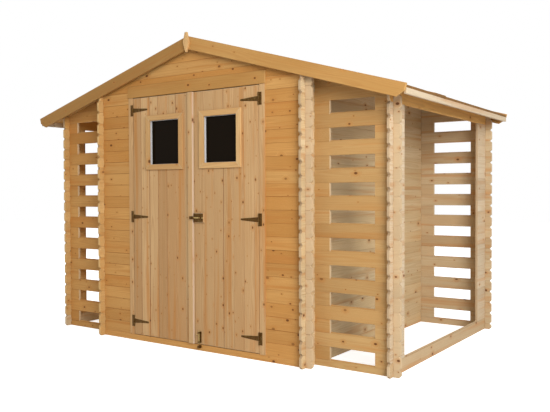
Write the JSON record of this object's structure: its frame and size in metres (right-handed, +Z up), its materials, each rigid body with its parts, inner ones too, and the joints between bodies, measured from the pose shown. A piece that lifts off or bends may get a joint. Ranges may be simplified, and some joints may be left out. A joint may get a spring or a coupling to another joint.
{
  "type": "timber garden shed with slatted log stores",
  "caption": "Gabled garden shed of notched, crossed boards with glazed hinged doors, sliding bolts and open slatted log stores at its sides.",
  "frame": {"origin": "on the ground, under the middle of the whole building", "axes": "+X right along the front seen from outside, +Y from the doors to the back, +Z up"},
  "size_m": [3.318, 2.046, 2.2587],
  "materials": {
    "wall_timber": "planed softwood, warm yellow",
    "roof_timber": "planed softwood, golden",
    "door_timber": "planed softwood, pale",
    "window_glass": "clear",
    "bronzed_steel": "dark bronze, satin",
    "bright_bolt": "dull yellow plating"
  },
  "bodies": {
    "shed": {"front_sill": "wall_timber", "front_wall_left": "wall_timber", "front_wall_right": "wall_timber", "front_gable": "wall_timber", "back_wall": "wall_timber", "left_side_wall": "wall_timber", "right_side_wall": "wall_timber", "left_store_front": "wall_timber", "right_store_front": "wall_timber", "left_store_back": "wall_timber", "right_store_back": "wall_timber", "left_bottom_rail": "wall_timber", "right_bottom_rail": "wall_timber", "left_top_rail": "wall_timber", "right_top_rail": "wall_timber", "ridge_beam": "roof_timber", "left_roof_deck": "roof_timber", "right_roof_deck": "roof_timber", "front_left_barge": "roof_timber", "front_right_barge": "roof_timber", "back_left_barge": "roof_timber", "back_right_barge": "roof_timber", "left_eave_fascia": "roof_timber", "right_eave_fascia": "roof_timber", "finials": "roof_timber", "door_jambs": "door_timber", "door_head": "door_timber", "hinge_plates": "bronzed_steel", "foot_bolt_keeper": "bronzed_steel"},
    "left_door": {"left_door_boards": "door_timber", "left_door_battens": "door_timber", "left_door_window_trim": "door_timber", "left_door_pane": "window_glass", "meeting_batten": "door_timber", "left_door_straps": "bronzed_steel", "bolt_keeper": "bright_bolt"},
    "right_door": {"right_door_boards": "door_timber", "right_door_battens": "door_timber", "right_door_window_trim": "door_timber", "right_door_pane": "window_glass", "right_door_straps": "bronzed_steel", "bolt_packer": "door_timber", "bolt_plate": "bronzed_steel", "foot_bolt_plate": "bronzed_steel"},
    "centre_bolt": {"bolt_rod": "bright_bolt"},
    "foot_bolt": {"foot_bolt_rod": "bright_bolt"}
  },
  "joints": [
    {"name": "left_door_hinge", "type": "hinge", "parent": "shed", "child": "left_door", "pos_m": [-0.5895, -0.9675, 0.946], "axis": [0, 0, -1], "range_deg": [0, 160]},
    {"name": "right_door_hinge", "type": "hinge", "parent": "shed", "child": "right_door", "pos_m": [0.5895, -0.9675, 0.946], "axis": [0, 0, 1], "range_deg": [0, 160]},
    {"name": "centre_bolt_slide", "type": "slide", "parent": "right_door", "child": "centre_bolt", "axis": [-1, 0, 0], "range_m": [0, 0.018]},
    {"name": "foot_bolt_slide", "type": "slide", "parent": "right_door", "child": "foot_bolt", "axis": [0, 0, -1], "range_m": [0, 0.02]}
  ]
}
